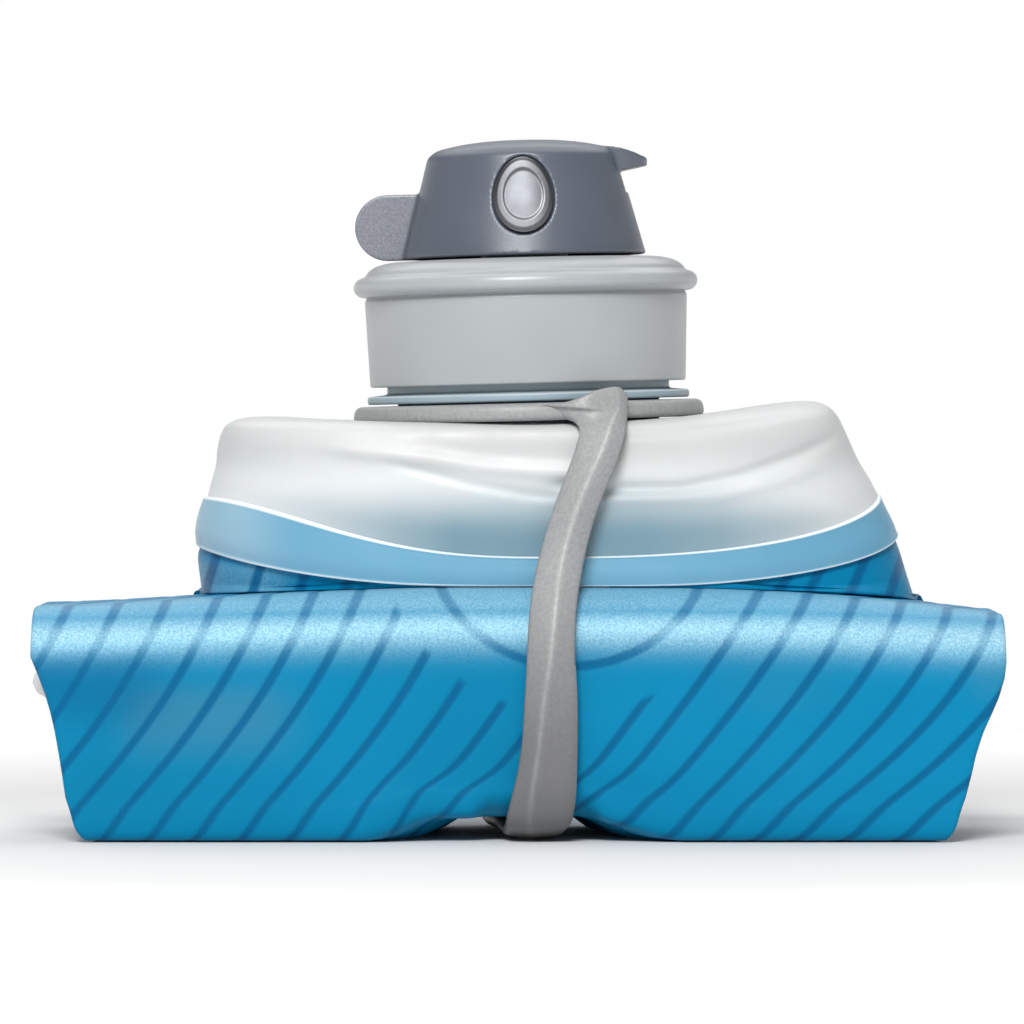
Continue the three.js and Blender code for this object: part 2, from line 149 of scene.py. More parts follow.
class Nodes:
    """Short names for making one material's nodes."""

    def __init__(self, name):
        self.material = bpy.data.materials.new(name)
        self.material.use_nodes = True
        self.tree = self.material.node_tree
        self.shader = self.tree.nodes["Principled BSDF"]
        self.coords = self.tree.nodes.new("ShaderNodeTexCoord").outputs["Object"]

    def set(self, node=None, **values):
        """Constants, set on the sockets of the shader or of another node."""
        for name, value in values.items():
            (node or self.shader).inputs[name.replace("_", " ")].default_value = value

    def new(self, kind, **values):
        node = self.tree.nodes.new("ShaderNode" + kind)
        self.set(node, **values)
        return node

    def link(self, a, b):
        self.tree.links.new(a, b)

    def noise(self, scale, detail, rough=0.55):
        node = self.new("TexNoise", Scale=scale, Detail=detail, Roughness=rough)
        self.link(self.coords, node.inputs["Vector"])
        return node.outputs["Fac"]

    def attribute(self, name):
        """A number that the mesh holds at each of its points."""
        node = self.new("Attribute")
        node.attribute_name = name
        return node.outputs["Fac"]

    def ramp(self, value, first, last, band=SLOW):
        """From the first colour to the last over the band of the value."""
        node = self.new("ValToRGB")
        for element, at, color in zip(node.color_ramp.elements, band, (first, last)):
            element.position, element.color = at, (*color, 1)
        self.link(value, node.inputs["Fac"])
        return node.outputs["Color"]

    def vary(self, noise, color, darker, lighter):
        """A colour that the noise makes darker and lighter."""
        return self.ramp(noise, [c * darker for c in color], [c * lighter for c in color])

    def mix(self, factor, a, b):
        """From a, which is linked, to the plain colour or linked colour b."""
        node = self.new("Mix")
        node.data_type = "RGBA"
        self.link(factor, node.inputs[0])
        self.link(a, node.inputs[6])
        if isinstance(b, bpy.types.NodeSocket):
            self.link(b, node.inputs[7])
        else:
            node.inputs[7].default_value = (*b, 1)
        return node.outputs[2]

    def times(self, a, b):
        node = self.new("Math")
        node.operation = "MULTIPLY"
        self.link(a, node.inputs[0])
        self.link(b, node.inputs[1])
        return node.outputs[0]

    def range(self, value, low, high, to_low, to_high):
        node = self.new("MapRange", From_Min=low, From_Max=high, To_Min=to_low, To_Max=to_high)
        self.link(value, node.inputs["Value"])
        return node.outputs["Result"]

    def color(self, value):
        self.link(value, self.shader.inputs["Base Color"])

    def roughness(self, noise, low, high, band=SLOW):
        self.link(self.range(noise, *band, low, high), self.shader.inputs["Roughness"])

    def bump(self, *layers):
        """Each layer is (height, strength, distance in metres)."""
        normal = None
        for height, strength, distance in layers:
            node = self.new("Bump", Strength=strength, Distance=distance)
            self.link(height, node.inputs["Height"])
            if normal:
                self.link(normal, node.inputs["Normal"])
            normal = node.outputs["Normal"]
        self.link(normal, self.shader.inputs["Normal"])


def plastic(name, color, roughness, grain=900, strength=0.25, **extra):
    """A moulded plastic: fine grain, and slow changes of colour and gloss."""
    n = Nodes(name)
    n.color(n.vary(n.noise(35, 2), color, 0.94, 1.06))
    n.roughness(n.noise(160, 4), roughness - 0.05, roughness + 0.06)
    n.bump((n.noise(grain, 2), strength, GRAIN_DEPTH))
    n.set(**extra)
    return n.material


def film_material():
    """Polyurethane film with a fine embossed sparkle. Its debossed lines are darker. Painted light and shade: a
    greyish sheen on patches, a paler highlight band and top along the crown, and a darker patch at the front's
    left end.
    """
    n = Nodes("film_blue")
    base = n.vary(n.noise(22, 3), (0.0, 0.19, 0.365), 0.92, 1.06)
    # painted sheen: greyer where the film would reflect the surroundings
    base = n.mix(n.attribute("painted_sheen"), base, (0.075, 0.205, 0.27))
    # painted highlight: paler, with a fine sparkle, where the light catches the crown
    highlight_sparkle = n.range(n.noise(3000, 2, 0.7), *FINE, 0.6, 1.25)
    base = n.mix(n.times(n.attribute("painted_highlight"), highlight_sparkle), base, (0.41, 0.65, 0.74))
    # the lines' darker colour also carries a painted shade at the front's left end
    n.color(n.mix(n.range(n.attribute("groove_and_shade"), 0.0, 1.0, 0.0, 0.9), base, (0.0, 0.095, 0.23)))
    n.roughness(n.noise(2600, 2, 0.6), 0.34, 0.52, FINE)
    n.bump((n.noise(1500, 3, 0.65), 0.5, GRAIN_DEPTH), (n.noise(120, 2), 0.12, 0.0004))
    n.set(Specular_IOR_Level=0.25, Specular_Tint=(0.35, 0.8, 1.0, 1.0))
    return n.material


def elastomer_material():
    """Matte elastomer with a fine grain. Painted shade makes it darker towards the bottom, and a painted
    highlight makes it paler along its ridge.
    """
    n = Nodes("bail_grey")
    base = n.ramp(n.noise(35, 2), (0.285, 0.29, 0.292), (0.32, 0.325, 0.327))
    grain = n.noise(1700, 2)
    base = n.mix(n.attribute("low_shade"), base, (0.135, 0.135, 0.137))
    base = n.mix(n.attribute("ridge_highlight"), base, (0.60, 0.61, 0.61))
    n.color(n.mix(n.range(grain, *FINE, 0.0, 0.22), base, (0.10, 0.10, 0.105)))
    n.roughness(n.noise(160, 4), 0.42, 0.54)
    n.bump((grain, 0.4, GRAIN_DEPTH))
    return n.material


def cap_material():
    """Dark slate plastic. The fin's flat faces have a lighter, coarser grain."""
    n = Nodes("cap_slate")
    base = n.ramp(n.noise(35, 2), (0.072, 0.086, 0.112), (0.082, 0.097, 0.124))
    grain = n.noise(2600, 2)
    pale = n.ramp(grain, (0.13, 0.14, 0.17), (0.225, 0.235, 0.27))
    n.color(n.mix(n.attribute("fin"), base, pale))
    n.roughness(n.noise(160, 4), 0.34, 0.42)
    n.bump((grain, 0.35, 0.00005))
    n.set(Specular_IOR_Level=0.75)
    return n.material


def soft_shell(n, low, high):
    """The gloss and the bump that the frosted shell and the weld share."""
    n.roughness(n.noise(250, 3), low, high)
    n.bump((n.noise(1300, 3), 0.3, GRAIN_DEPTH), (n.noise(90, 2), 0.12, 0.0005))
    return n.material


def frosted_material():
    """Frosted film, with painted shade: dimmer near its top, and darker and bluer where the inside would show
    through.
    """
    n = Nodes("frosted_shell")
    base = n.ramp(n.noise(30, 3), (0.59, 0.61, 0.612), (0.65, 0.67, 0.672))
    base = n.mix(n.attribute("top_shade"), base, (0.40, 0.405, 0.40))
    n.color(n.mix(n.attribute("shade"), base, (0.10, 0.222, 0.29)))
    n.set(Subsurface_Weight=0.15, Subsurface_Scale=0.002)
    return soft_shell(n, 0.4, 0.52)


def weld_material():
    """Frosted film over the blue film, with whitish painted highlights along its edges and a paler left end in
    painted light.
    """
    n = Nodes("weld_band")
    base = n.ramp(n.noise(30, 3), (0.115, 0.315, 0.455), (0.14, 0.345, 0.49))
    base = n.mix(n.attribute("shade"), base, (0.30, 0.46, 0.55))
    n.color(n.mix(n.attribute("edge"), base, (0.72, 0.78, 0.80)))
    return soft_shell(n, 0.32, 0.44)


lid_plastic = plastic("lid_grey", (0.34, 0.36, 0.37), 0.33, Specular_IOR_Level=0.6)
cap_plastic = cap_material()
elastomer = elastomer_material()
badge_metal = plastic("badge_silver", (0.135, 0.14, 0.15), 0.44, grain=2500, strength=0.1, Metallic=1.0)
seal_rubber = plastic("seal_black", (0.03, 0.035, 0.04), 0.6, grain=1500)
film_blue = film_material()
frosted = frosted_material()
weld_blue = weld_material()


# ------------ mesh helpers
def face_outward(mesh):
    """Turns the faces of a closed mesh outward."""
    check = bmesh.new()
    check.from_mesh(mesh)
    bmesh.ops.recalc_face_normals(check, faces=check.faces)
    check.to_mesh(mesh)
    check.free()


def add(name, points, faces, material, nodes, body=None, values=None, sharp=None):
    """One piece from points in the drawing frame. It rides on body, and stands for the CAD nodes."""
    mesh = bpy.data.meshes.new(name)
    mesh.from_pydata(to_row(points).reshape(-1, 3).tolist(), [], faces)
    mesh.validate()
    mesh.update()
    face_outward(mesh)
    mesh.shade_smooth()
    for key, value in (values or {}).items():
        held = mesh.attributes.new(key, "FLOAT", "POINT")
        held.data.foreach_set("value", np.asarray(value, np.float32).ravel())
    if sharp is not None:
        mesh.set_sharp_from_angle(angle=math.radians(sharp))
    mesh.materials.append(material)
    piece = linked(name, mesh)
    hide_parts(*nodes)
    if body:
        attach(piece, body)
    return piece


def quads(rows, columns, wrap_rows=False, wrap_columns=False, start=0):
    """Faces of a grid of points."""
    i = np.arange(rows if wrap_rows else rows - 1)[:, None]
    j = np.arange(columns if wrap_columns else columns - 1)[None, :]
    a = i * columns + j
    b = i * columns + (j + 1) % columns
    c = ((i + 1) % rows) * columns + (j + 1) % columns
    d = ((i + 1) % rows) * columns + j
    return (np.stack([a, b, c, d], -1).reshape(-1, 4) + start).tolist()


def rounded(profile, steps=5):
    """A polyline of (r, z, fillet radius) points, with its corners rounded."""
    out = []
    for i, (r, z, fillet) in enumerate(profile):
        here = np.array([r, z], float)
        if not fillet or i in (0, len(profile) - 1):
            out.append(here)
            continue
        before = np.array(profile[i - 1][:2], float) - here
        after = np.array(profile[i + 1][:2], float) - here
        la, lb = np.linalg.norm(before), np.linalg.norm(after)
        reach = min(fillet, la * 0.49, lb * 0.49)
        a, b = here + before / la * reach, here + after / lb * reach
        for t in np.linspace(0, 1, steps + 1):
            out.append((1 - t) ** 2 * a + 2 * t * (1 - t) * here + t * t * b)
    return np.array(out)


def lathe(profile, segments=192, closed=True):
    """Points and faces of a solid of revolution about the neck's axis."""
    profile = np.asarray(profile)
    angle = np.linspace(0, 2 * math.pi, segments, endpoint=False)
    r, z = profile[:, :1], profile[:, 1:]
    grid = np.stack([r * np.cos(angle), r * np.sin(angle), np.broadcast_to(z, (len(profile), segments))], -1)
    return grid.reshape(-1, 3), quads(len(profile), segments, wrap_rows=closed, wrap_columns=True)


THREAD_TURNS, THREAD_LEAD = 1.75, 4.0


def helix(radius, bottom, steps=150, sides=10):
    """Points and faces of a thread ridge of 1 mm radius whose ends taper away."""
    points = []
    for t in np.linspace(0, 1, steps + 1):
        angle = t * THREAD_TURNS * 2 * math.pi
        size = 0.25 + 0.75 * float(smooth(min(t, 1 - t) / 0.06))
        for k in range(sides):
            turn = k / sides * 2 * math.pi
            r = radius + size * math.cos(turn)
            z = bottom + t * THREAD_TURNS * THREAD_LEAD + size * math.sin(turn)
            points.append((r * math.cos(angle), r * math.sin(angle), z))
    faces = quads(steps + 1, sides, wrap_columns=True)
    faces.append(list(range(sides))[::-1])
    faces.append([steps * sides + k for k in range(sides)])
    return np.array(points), faces


def merged(*parts):
    """Points and faces of several solids as one."""
    points, faces = [], []
    for p, f in parts:
        start = sum(len(q) for q in points)
        points.append(np.asarray(p))
        faces += [[v + start for v in face] for face in f]
    return np.concatenate(points), faces


# ------------ neck, lid and ring
neck_profile = rounded([
    (19, -4, 0), (19, 20.6, 0.5), (21, 20.6, 0.5), (21, 7.3, 0.5), (22.7, 6.7, 0.3), (22.7, 4.75, 0.4),
    (25.9, 4.45, 0.45), (25.9, 3.2, 0.45), (21, 3.2, 0.3), (21, -2.1, 0), (23.6, -2.1, 0), (23.6, -3.6, 0),
    (21, -3.6, 0), (21, -4, 0),
])
points, faces = merged(lathe(neck_profile), helix(21.3, 9.5))
# the neck has painted shade; the collar's top edge, a painted highlight, is lighter than the neck above it and
# the parts below it
COLLAR_EDGE_LOW, COLLAR_EDGE_HIGH = 4.2, 4.47
neck_shade = 0.45 + 0.1 * (points[:, 2] > COLLAR_EDGE_HIGH) + 0.25 * (points[:, 2] < COLLAR_EDGE_LOW)
add("neck", from_neck(points), faces, frosted, ["neck_fitment"], "shoulder", {"shade": neck_shade}, 50)

ring_profile = rounded([
    (21.4, 0.1, 0), (28.3, 0.1, 1.2), (28.0, 2.9, 1.7), (21.4, 2.9, 0.3), (21.4, 0.1, 0),
], 8)[:-1]
points, faces = lathe(ring_profile)
add("bail_ring_moulding", from_neck(points), faces, elastomer, ["bail_ring"], "shoulder",
    sharp=50)

turns = np.radians(np.linspace(-78, 80, 17))
bead = [(26.0 + 1.68 * math.cos(a), 22.0 + 1.6 * math.sin(a), 0) for a in turns]
lid_profile = rounded([
    (23.2, 6.2, 0), (23.5, 5.95, 0.1), (25.4, 5.95, 0.4), (25.93, 19.7, 0.3), (25.75, 20.1, 0.2),
    (25.6, 20.35, 0.1), *bead, (25.75, 23.85, 0.15), (25.35, 24.55, 0.6), (24.2, 25.35, 0.9), (22.1, 25.9, 1.2),
    (20.3, 26.0, 0.4), (7.3, 26.0, 0), (7.3, 22.9, 0), (23.2, 22.9, 0), (23.2, 6.3, 0),
])
points, faces = merged(lathe(lid_profile, 256), helix(22.9, 11.5))
add("lid", from_neck(points), faces, lid_plastic, ["screw_lid"], "lid", sharp=40)

for node, material in (("lid_gasket", seal_rubber), ("spout_core", lid_plastic),
                       ("core_o_ring_1", seal_rubber), ("core_o_ring_2", seal_rubber)):
    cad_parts[node].data.materials.clear()
    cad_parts[node].data.materials.append(material)


# ------------ twist cap and badge
CONE = {"bottom": 26.4, "bottom_r": 19.5, "rim": 42.6, "rim_r": 15.25}
BADGE = {"half_width": 4.7, "half_height": 6.0, "level": 36.0}
BADGE_SEAT = -0.85  # the floor of the hollow that the badge lies in, against the cone's face
CAP_TOP, CAP_CEILING = 45.2, 42.0
CAP_SEGMENTS, CAP_VOXEL = 200, 0.24
FIN_X, FIN_Z, FIN_RADIUS, FIN_THICKNESS = -21.9, 31.6, 5.3, 2.6
BEAK_ROOT, BEAK_END, BEAK_RADIUS, BEAK_HALF = 9.0, 20.1, 4.6, 5.2
PORT = [(6.6, -3.3), (24, -3.3), (24, 3.3), (6.6, 3.3)]
PORT_LOW, PORT_HIGH = 36.4, 39.6


def cone_radius(z):
    """The radius of the cone's outside at a height."""
    share = (z - CONE["bottom"]) / (CONE["rim"] - CONE["bottom"])
    return CONE["bottom_r"] + (CONE["rim_r"] - CONE["bottom_r"]) * share


def temporary(points, faces):
    """A working object, in millimetres about the neck's axis."""
    mesh = bpy.data.meshes.new("working")
    mesh.from_pydata(np.asarray(points).tolist(), [], faces)
    face_outward(mesh)
    return linked("working", mesh)


def sides(n):
    """The faces between two outlines of n points each, and the two ends."""
    walls = [[i, (i + 1) % n, n + (i + 1) % n, n + i] for i in range(n)]
    return walls + [list(range(n))[::-1], list(range(n, 2 * n))]


def prism(outline, low, high):
    """A solid between two heights, which may depend on x, over a plan outline."""
    points = [(x, y, height(x)) for height in (low, high) for x, y in outline]
    return points, sides(len(outline))


def on_cone(width_angle, height, out):
    """Points on the cone's front at a turn from straight ahead and a height, standing out from it."""
    slope = math.atan2(CONE["bottom_r"] - CONE["rim_r"], CONE["rim"] - CONE["bottom"])
    r = cone_radius(height) + out * math.cos(slope)
    z = height + out * math.sin(slope)
    return np.stack([r * np.sin(width_angle), -r * np.cos(width_angle), z], -1)


def oval_plate(margin, inner, outer_at, rings, spokes=72):
    """A curved oval plate on the cone: outer_at(share) is how far it stands out at a share of its size."""
    share = np.linspace(0, 1, rings + 1)[1:, None]
    angle = np.linspace(0, 2 * math.pi, spokes, endpoint=False)[None, :]
    w = (BADGE["half_width"] + margin) * share * np.cos(angle)
    h = (BADGE["half_height"] + margin) * share * np.sin(angle)
    turn = w / cone_radius(BADGE["level"])
    out = np.broadcast_to(outer_at(share), w.shape)
    front = on_cone(turn, BADGE["level"] + h, out)
    back = on_cone(turn, BADGE["level"] + h, np.full_like(w, inner))
    level = np.full(1, BADGE["level"])
    middle_front = on_cone(np.zeros(1), level, outer_at(np.zeros(1)))
    middle_back = on_cone(np.zeros(1), level, np.full(1, inner))
    points = np.concatenate([front.reshape(-1, 3), back.reshape(-1, 3), middle_front, middle_back])
    half = rings * spokes
    faces = quads(rings, spokes, wrap_columns=True) + quads(rings, spokes, wrap_columns=True, start=half)
    last = (rings - 1) * spokes
    for k in range(spokes):
        m = (k + 1) % spokes
        faces.append([last + k, last + m, half + last + m, half + last + k])
        faces.append([2 * half, k, m])
        faces.append([2 * half + 1, half + m, half + k])
    return points, faces


def cone():
    """The cone with its inner sleeve, closed at the crown."""
    profile = rounded([
        (0, CAP_TOP, 0), (6, 45.05, 2), (10.5, 44.5, 2), (13.9, 43.7, 0.8), (15.25, 42.6, 0.6), (19.5, 26.6, 0.2),
        (19.3, 26.4, 0.2), (17.4, 26.4, 0), (15.6, 33, 0), (9, 33, 0), (9, 27.4, 0), (7.6, 27.4, 0),
        (7.6, CAP_CEILING, 0), (0, CAP_CEILING, 0),
    ])
    points, faces = lathe(profile[1:-1], CAP_SEGMENTS, closed=False)
    count = len(points)
    last = count - CAP_SEGMENTS
    for k in range(CAP_SEGMENTS):
        m = (k + 1) % CAP_SEGMENTS
        faces.append([count, m, k])
        faces.append([count + 1, last + k, last + m])
    return np.concatenate([points, [[0, 0, CAP_TOP], [0, 0, CAP_CEILING]]]), faces


def fin():
    """The paddle on the cone's left."""
    turn = np.linspace(math.pi / 2, 1.5 * math.pi, 33)
    side = [(FIN_X + FIN_RADIUS * math.cos(a), FIN_Z + FIN_RADIUS * math.sin(a)) for a in turn]
    side = [(-14.4, FIN_Z + FIN_RADIUS)] + side + [(-16.2, FIN_Z - FIN_RADIUS)]
    points = [(x, y, z) for y in (-FIN_THICKNESS / 2, FIN_THICKNESS / 2) for x, z in side]
    return points, sides(len(side))


def beak():
    """The lip on the cone's right, over the port."""
    turn = np.linspace(-math.pi / 2, math.pi / 2, 25)
    middle = BEAK_END - BEAK_RADIUS
    outline = [(middle + BEAK_RADIUS * math.cos(a), BEAK_RADIUS * math.sin(a)) for a in turn]
    outline = [(BEAK_ROOT, -BEAK_HALF)] + outline + [(BEAK_ROOT, BEAK_HALF)]
    return prism(
        outline, lambda x: 39.7 + 0.18 * (x - 15.3), lambda x: 43.95 - (0.2 + 0.026 * (x - 14)) * (x - 14))


def modify(thing, kind, **settings):
    """Runs one modifier on a working object."""
    modifier = thing.modifiers.new(kind.lower(), kind)
    for key, value in settings.items():
        setattr(modifier, key, value)
    graph = bpy.context.evaluated_depsgraph_get()
    made = bpy.data.meshes.new_from_object(thing.evaluated_get(graph), depsgraph=graph)
    thing.modifiers.clear()
    thing.data = made


def twist_cap():
    """Points and faces of the cone, its fin and its beak as one moulding, with the port and the badge's seat."""
    body = temporary(*cone())
    others = [
        ("UNION", temporary(*fin())),
        ("UNION", temporary(*beak())),
        ("DIFFERENCE", temporary(*prism(PORT, lambda x: PORT_LOW, lambda x: PORT_HIGH))),
        ("DIFFERENCE", temporary(*oval_plate(0.35, BADGE_SEAT, lambda s: 3.0 + 0 * s, rings=3))),
    ]
    for operation, other in others:
        modify(body, "BOOLEAN", operation=operation, object=other, solver="EXACT")
        bpy.data.objects.remove(other)
    modify(body, "REMESH", mode="VOXEL", voxel_size=CAP_VOXEL)
    modify(body, "SMOOTH", factor=0.5, iterations=4)
    co = np.zeros(len(body.data.vertices) * 3, np.float32)
    body.data.vertices.foreach_get("co", co)
    faces = [list(p.vertices) for p in body.data.polygons]
    bpy.data.objects.remove(body)
    return co.reshape(-1, 3).astype(float), faces


def badge_height(share):
    """A raised rim round a flat middle, with a rounded outer edge."""
    rim = 0.02 + 0.28 * smooth((1 - share) / 0.12)
    middle = 0.12 + 0.18 * smooth((share - 0.62) / 0.1)
    return np.where(share > 0.8, rim, middle)


points, faces = twist_cap()
on_fin = smooth((-points[:, 0] - cone_radius(points[:, 2]) - 0.25) / 0.5) * smooth(3 - np.abs(points[:, 1]))
add("cap", from_neck(points), faces, cap_plastic, ["twist_cap"], "cap", {"fin": on_fin})

points, faces = oval_plate(0, -0.7, badge_height, rings=40)
add("badge", from_neck(points), faces, badge_metal, ["cap_badge"], "cap", sharp=50)


# ------------ shoulder, band and upper film
# Each row of an outline: left, right, front and back; the heights at the left, right, front and back; the
# roundness; and how late the height drops from the left end and from the right end to the front.
SHOULDER_ROWS = np.array([
    [-19.6, 23.0, -21.3, 21.3, 64.6, 65.8, 65.1, 65.1, 1.0, 2, 2],
    [-28.0, 31.5, -23.8, 23.8, 65.1, 66.9, 65.2, 65.2, 0.95, 2, 2],
    [-36.0, 41.0, -25.4, 25.4, 66.1, 68.3, 65.2, 65.2, 0.88, 2, 2],
    [-43.2, 46.6, -27.0, 27.0, 66.1, 68.7, 64.9, 64.9, 0.82, 2, 1.6],
    [-46.3, 49.5, -28.0, 28.0, 65.3, 68.0, 64.0, 64.0, 0.8, 2.4, 1.5],
    [-47.7, 51.2, -28.6, 28.6, 63.8, 66.5, 62.2, 62.2, 0.8, 3, 1.5],
    [-48.4, 52.6, -29.0, 29.0, 61.2, 63.8, 58.6, 58.6, 0.8, 3.6, 1.5],
    [-48.7, 54.5, -29.2, 29.2, 58.4, 59.6, 54.0, 54.0, 0.8, 4.2, 1.5],
    [-49.4, 56.5, -29.4, 29.4, 55.8, 56.2, 49.0, 49.4, 0.8, 4.6, 1.5],
    [-50.0, 57.8, -29.4, 29.4, 53.4, 53.8, 44.3, 45.4, 0.8, 4.8, 1.5],
    [-50.4, 58.5, -29.4, 29.4, 52.2, 52.6, 43.2, 44.2, 0.8, 4.8, 1.5],
])
BAND_ROWS = np.array([
    [-50.0, 57.6, -29.4, 29.4, 53.4, 53.8, 44.3, 45.4, 0.8, 4.8, 1.5],
    [-50.9, 58.5, -29.6, 29.6, 51.0, 51.8, 42.9, 43.8, 0.8, 4.0, 1.5],
    [-51.5, 59.8, -29.8, 29.8, 48.0, 49.2, 41.2, 42.3, 0.8, 2.8, 1.5],
    [-51.3, 60.5, -29.6, 29.6, 45.6, 47.3, 39.3, 41.0, 0.8, 2.2, 1.5],
])
FILM_ROWS = np.array([
    [-51.0, 60.0, -29.0, 29.0, 46.2, 47.9, 40.8, 41.4, 0.8, 2.2, 1.5],
    [-51.6, 61.2, -28.8, 28.8, 43.6, 45.0, 40.2, 40.8, 0.8, 2.0, 1.5],
    [-51.2, 62.6, -28.6, 28.4, 39.8, 40.4, 39.4, 40.4, 0.8, 1.6, 1.6],
    [-51.0, 63.9, -27.9, 27.0, 36.8, 36.4, 38.9, 39.4, 0.8, 1.6, 1.6],
    [-52.6, 65.0, -10.0, 22.0, 35.0, 35.0, 38.6, 37.2, 0.8, 1.4, 1.4],
    [-56.4, 66.0, 1.6, 16.0, 33.2, 33.2, 39.2, 35.0, 0.8, 1.5, 1.5],
    [-62.5, 66.6, 3.6, 9.8, 30.6, 30.6, 35.0, 32.4, 0.8, 1.5, 1.5],
    [-65.4, 66.3, 4.2, 6.9, 28.6, 28.6, 30.8, 30.5, 0.8, 1.5, 1.5],
    [-66.0, 66.0, 4.45, 6.15, 27.3, 27.3, 29.3, 29.3, 0.8, 1.5, 1.5],
])
CROWN = 39.2  # the roll's top
# how far the roll's top is above or below that height at each x, and how far along x this is averaged
CROWN_AT = np.array([(-76, -2.7), (-66, -2.4), (-50, -1.4), (-34, -0.5), (-14, 0.3), (6, 0.45), (30, 0.1),
                     (45, -0.6), (60, -1.9), (76, -4.0)])
CROWN_BLUR = 8
COLUMNS = 520


def crown_sag(x):
    """How far the roll's top is above or below CROWN at x."""
    weights = np.bartlett(11)[1:-1]
    total = 0
    for shift, weight in zip(np.linspace(-1, 1, 9), weights):
        total = total + weight * np.interp(x + shift * CROWN_BLUR, CROWN_AT[:, 0], CROWN_AT[:, 1])
    return total / weights.sum()


def hermite(rows, at, knots, slopes):
    """A smooth curve through the rows at the knots, with the slopes there."""
    i = np.clip(np.searchsorted(knots, at, side="right") - 1, 0, len(rows) - 2)
    h = (knots[i + 1] - knots[i])[:, None]
    t = (at - knots[i])[:, None] / h
    return ((2 * t**3 - 3 * t**2 + 1) * rows[i] + (t**3 - 2 * t**2 + t) * h * slopes[i]
            + (-2 * t**3 + 3 * t**2) * rows[i + 1] + (t**3 - t**2) * h * slopes[i + 1])


def outlines(rows, count):
    """A smooth run of closed outlines through the rows, held up where they would sink into the roll's top."""
    knots = np.arange(len(rows), dtype=float)
    made = hermite(rows, np.linspace(0, len(rows) - 1, count), knots, np.gradient(rows, axis=0))
    left, right, front, back, z_left, z_right, z_front, z_back, round_, late_left, late_right = (
        made[:, k : k + 1] for k in range(11))
    angle = np.linspace(0, 2 * math.pi, COLUMNS, endpoint=False)[None, :]
    c = np.sign(np.cos(angle)) * np.abs(np.cos(angle)) ** round_
    s = np.sign(np.sin(angle)) * np.abs(np.sin(angle)) ** round_
    x = (left + right) / 2 + (right - left) / 2 * c
    y = (front + back) / 2 + (back - front) / 2 * s
    side = np.where(c < 0, z_left, z_right)
    late = np.where(s > 0, 1.5, np.where(c < 0, late_left, late_right))
    z = side + (np.where(s < 0, z_front, z_back) - side) * np.abs(s) ** late
    clear, soft, free = 0.08, 0.25, 2.0
    lowest = CROWN + clear + crown_sag(x)
    over = z - lowest
    held = lowest + soft * np.log1p(np.exp(np.minimum(over, free) / soft))
    z = z + (np.where(over < free, held, z) - z) * smooth((2.6 - y) / 2.1)
    return np.stack([x, y, z], -1)


def offset(grid, amount):
    """The grid moved along its own normals."""
    along = np.roll(grid, -1, 1) - np.roll(grid, 1, 1)
    down = np.gradient(grid, axis=0)
    normal = np.cross(along, down)
    normal /= np.linalg.norm(normal, axis=-1, keepdims=True) + 1e-9
    return grid + normal * amount


def shell(outer, inner):
    """A closed wall between two grids of closed outlines."""
    whole = np.concatenate([outer, inner[::-1]])
    return whole.reshape(-1, 3), quads(len(whole), whole.shape[1], wrap_rows=True, wrap_columns=True)


def add_shell(name, outer, wall, material, nodes, values):
    """A piece of the shoulder body: the outlines, and a wall of even thickness inside them."""
    centre = np.mean(outer.reshape(-1, 3), 0)
    mid = len(outer) // 2

    def spread(grid):
        return np.linalg.norm(grid[mid] - centre, axis=-1).mean()

    inward = offset(outer, wall)
    if spread(inward) > spread(outer):
        inward = offset(outer, -wall)
    points, faces = shell(outer, inward)
    both = {k: np.concatenate([v, v[::-1]]) for k, v in values.items()}
    add(name, points, faces, material, nodes, "shoulder", both, sharp=50)


# Soft creases in the shoulder's front: points (x, z), how far they stand out, and their half width.
CREASES = [
    ([(-30, 61.2), (-23.4, 60.6), (-13.9, 59.6), (-6.1, 58.3), (4, 57.6), (12, 57.4)], 0.7, 1.3),
    ([(-20, 58.8), (-13, 57.1), (-7.7, 55.7), (1.8, 54.0), (8, 53.6)], -0.35, 0.8),
    ([(6, 55.4), (14.4, 54.9), (25.4, 55.0), (34.8, 56.9), (44.2, 60.2), (50.5, 62.9)], -0.75, 1.0),
    ([(6, 53.6), (14.4, 53.3), (31.7, 53.6), (41.1, 56.0), (49, 59)], 0.4, 1.2),
    ([(14, 63.6), (24, 63.9), (34, 64.8), (42, 66.2)], -0.4, 0.8),
    ([(-44, 62.2), (-36, 61.6), (-28, 61.9), (-16, 62.4)], 0.15, 1.4),
]


def add_creases(grid):
    """Moves the shoulder's front along y by the creases."""
    x, y, z = (grid[..., k].copy() for k in range(3))
    for path, height, half in CREASES:
        px, pz = np.array(path).T
        line = np.interp(x, px, pz)
        slope = np.gradient(np.interp(np.arange(-60, 61.0), px, pz))
        away = (z - line) / np.sqrt(1 + np.interp(x, np.arange(-60, 61.0), slope) ** 2)
        ends = smooth((x - px[0] + 3) / 7) * smooth((px[-1] + 3 - x) / 7)
        grid[..., 1] -= height * np.exp(-((away / half) ** 2)) * ends * (y < -8)
    return grid


SHOULDER_WALL, BAND_WALL, FILM_WALL = 1.2, 0.9, 0.8
SEAM_ROW = 9  # the shoulder's row at the band's top

shoulder = outlines(SHOULDER_ROWS, 150)
x, y, z = (shoulder[..., k] for k in range(3))
seam = outlines(SHOULDER_ROWS[[SEAM_ROW, SEAM_ROW]], 2)[0][None, :, 2]
above = z - seam
